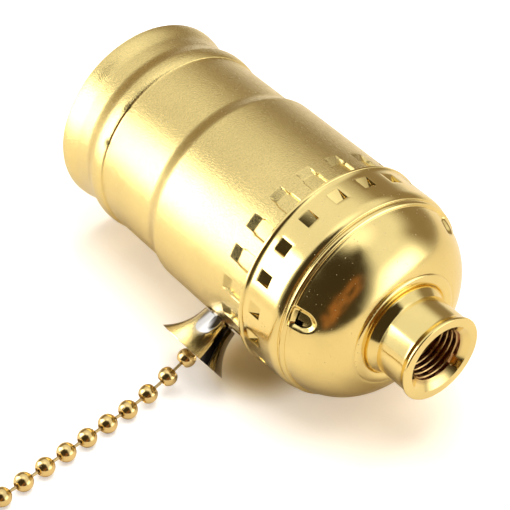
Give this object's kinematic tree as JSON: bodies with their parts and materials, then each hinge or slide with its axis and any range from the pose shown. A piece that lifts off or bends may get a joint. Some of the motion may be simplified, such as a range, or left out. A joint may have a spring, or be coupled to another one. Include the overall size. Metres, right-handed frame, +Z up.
{
  "type": "pull-chain lampholder",
  "caption": "Gold metal lamp socket with a threaded neck, a press-on barrel and a pull-chain switch whose ball chain leaves through a trumpet-shaped guide.",
  "frame": {"origin": "centre of the threaded neck's end face", "axes": "+X leaves the neck along the socket's axis, so the lamp opening faces -X; +Z is up with the socket lying on its side, resting on the cap's rim and the chain guide's lip; the chain leads towards -Y"},
  "size_m": [0.0765, 0.1312, 0.0374],
  "materials": {
    "cap_gold": "gold-anodised spun sheet, satin with a fine grain and a polished dome",
    "neck_gold": "turned and polished, gold plated",
    "barrel_gold": "gold-anodised spun sheet, satin with a fine grain",
    "guide_nickel": "mirror-polished turned brass with a dark warm plating",
    "chain_brass": "polished ball chain with a seam round each bead",
    "link_brass": "drawn wire",
    "contact_brass": "bright rolled and pressed strip",
    "screw_shell_brass": "bright rolled thread",
    "rivet_brass": "clenched rivet",
    "steel_zinc": "zinc-plated steel",
    "spring_steel": "drawn spring wire",
    "phenolic": "moulded phenolic, slightly glossy",
    "rotor_phenolic": "moulded brown phenolic",
    "fibre": "pressed fibre sleeve"
  },
  "bodies": {
    "housing": {"cap": "cap_gold", "neck_bushing": "neck_gold", "bushing_washer": "steel_zinc", "cap_insulator": "fibre", "switch_cover": "phenolic", "switch_base": "phenolic", "cover_rivets": "rivet_brass", "line_terminal": "contact_brass", "neutral_terminal": "contact_brass", "terminal_screws": "steel_zinc", "lamp_contact_blade": "contact_brass", "screw_shell": "screw_shell_brass", "contact_rivet": "rivet_brass", "lever_spindle": "steel_zinc", "chain_guide": "guide_nickel", "guide_nut": "rivet_brass", "return_spring": "spring_steel"},
    "barrel": {"barrel_shell": "barrel_gold", "insulating_sleeve": "fibre"},
    "pull_lever": {"pull_lever": "steel_zinc", "pawl": "spring_steel"},
    "rotor": {"rotor": "rotor_phenolic", "rotor_contact": "contact_brass", "ratchet_wheel": "steel_zinc"},
    "center_contact": {"center_contact": "contact_brass"},
    "chain_pull": {"chain_beads_a": "chain_brass", "chain_links_a": "link_brass"},
    "chain_middle": {"chain_beads_b": "chain_brass", "chain_links_b": "link_brass"},
    "chain_tail": {"chain_beads_c": "chain_brass", "chain_links_c": "link_brass"},
    "inner_chain": {"inner_beads": "chain_brass", "inner_links": "link_brass"},
    "guide_bead_0": {"guide_bead_0": "chain_brass"},
    "guide_bead_1": {"guide_bead_1": "chain_brass"},
    "guide_bead_2": {"guide_bead_2": "chain_brass"},
    "guide_bead_3": {"guide_bead_3": "chain_brass"},
    "guide_link_0": {"guide_link_0": "link_brass"},
    "guide_link_1": {"guide_link_1": "link_brass"},
    "guide_link_2": {"guide_link_2": "link_brass"},
    "guide_link_3": {"guide_link_3": "link_brass"},
    "guide_link_4": {"guide_link_4": "link_brass"}
  },
  "joints": [
    {"name": "pull", "type": "slide", "parent": "housing", "child": "chain_pull", "axis": [0.1132, -0.9936, 0], "range_m": [0, 0.00856], "stiffness_N_per_m": 120, "springref_m": -0.004},
    {"name": "chain_inside", "type": "slide", "parent": "housing", "child": "inner_chain", "axis": [0, -0.8526, -0.5225], "range_m": [0, 0.00865]},
    {"name": "guide_bead_0_slide", "type": "slide", "parent": "housing", "child": "guide_bead_0", "axis": [0.013, -0.8864, -0.4628], "range_m": [0, 0.00865]},
    {"name": "guide_bead_1_slide", "type": "slide", "parent": "housing", "child": "guide_bead_1", "axis": [0.0404, -0.9407, -0.3369], "range_m": [0, 0.00865]},
    {"name": "guide_bead_2_slide", "type": "slide", "parent": "housing", "child": "guide_bead_2", "axis": [0.0695, -0.9763, -0.2047], "range_m": [0, 0.00865]},
    {"name": "guide_bead_3_slide", "type": "slide", "parent": "housing", "child": "guide_bead_3", "axis": [0.0989, -0.9927, -0.0687], "range_m": [0, 0.00865]},
    {"name": "guide_link_0_turn", "type": "hinge", "parent": "inner_chain", "child": "guide_link_0", "pos_m": [-0.035, -0.01495, -0.00916], "axis": [-0.9824, -0.0975, 0.1591], "range_deg": [0, 8.09]},
    {"name": "guide_link_1_turn", "type": "hinge", "parent": "guide_bead_0", "child": "guide_link_1", "pos_m": [-0.035, -0.01861, -0.0114], "axis": [-0.9803, -0.1033, 0.1685], "range_deg": [0, 16.19]},
    {"name": "guide_link_2_turn", "type": "hinge", "parent": "guide_bead_1", "child": "guide_link_2", "pos_m": [-0.035, -0.02225, -0.01364], "axis": [-0.9765, -0.1091, 0.186], "range_deg": [0, 16.22]},
    {"name": "guide_link_3_turn", "type": "hinge", "parent": "guide_bead_2", "child": "guide_link_3", "pos_m": [-0.03489, -0.02617, -0.01535], "axis": [-0.9741, -0.111, 0.1971], "range_deg": [0, 16.23]},
    {"name": "guide_link_4_turn", "type": "hinge", "parent": "guide_bead_3", "child": "guide_link_4", "pos_m": [-0.03465, -0.03029, -0.01651], "axis": [-0.9733, -0.1109, 0.2008], "range_deg": [0, 8.12]},
    {"name": "lever_swing", "type": "hinge", "parent": "housing", "child": "pull_lever", "pos_m": [-0.035, -0.00624, 0.00119], "axis": [-1, 0, 0], "range_deg": [0, 91]},
    {"name": "rotor_index", "type": "hinge", "parent": "housing", "child": "rotor", "pos_m": [-0.035, -0.00624, 0.00119], "axis": [-1, 0, 0], "range_deg": [0, 91]},
    {"name": "contact_flex", "type": "hinge", "parent": "housing", "child": "center_contact", "pos_m": [-0.0483, -0.00138, 0.00226], "axis": [0, -0.8526, -0.5225], "range_deg": [0, 12], "stiffness_Nm_per_rad": 0.02},
    {"name": "barrel_pull_off", "type": "slide", "parent": "housing", "child": "barrel", "axis": [-1, 0, 0], "range_m": [0, 0.06]},
    {"name": "chain_bend", "type": "hinge", "parent": "chain_pull", "child": "chain_middle", "pos_m": [-0.03187, -0.05577, -0.0171], "axis": [0, 0, 1], "range_deg": [-11, 11]},
    {"name": "chain_bend_tail", "type": "hinge", "parent": "chain_middle", "child": "chain_tail", "pos_m": [-0.02848, -0.08554, -0.0171], "axis": [0, 0, 1], "range_deg": [-11.2, 11.2]}
  ],
  "couplings": [
    {"joint": "chain_inside", "follows": "pull", "ratio": 1},
    {"joint": "guide_bead_0_slide", "follows": "pull", "ratio": 0.99756},
    {"joint": "guide_bead_1_slide", "follows": "pull", "ratio": 0.99755},
    {"joint": "guide_bead_2_slide", "follows": "pull", "ratio": 0.99754},
    {"joint": "guide_bead_3_slide", "follows": "pull", "ratio": 0.99754},
    {"joint": "guide_link_0_turn", "follows": "pull", "rad_per_m": 16.322},
    {"joint": "guide_link_1_turn", "follows": "pull", "rad_per_m": 32.676},
    {"joint": "guide_link_2_turn", "follows": "pull", "rad_per_m": 32.736},
    {"joint": "guide_link_3_turn", "follows": "pull", "rad_per_m": 32.773},
    {"joint": "guide_link_4_turn", "follows": "pull", "rad_per_m": 16.393},
    {"joint": "lever_swing", "follows": "pull", "rad_per_m": 183.5},
    {"joint": "rotor_index", "follows": "pull", "rad_per_m": 183.5},
    {"joint": "chain_bend_tail", "follows": "chain_bend", "ratio": 1}
  ]
}
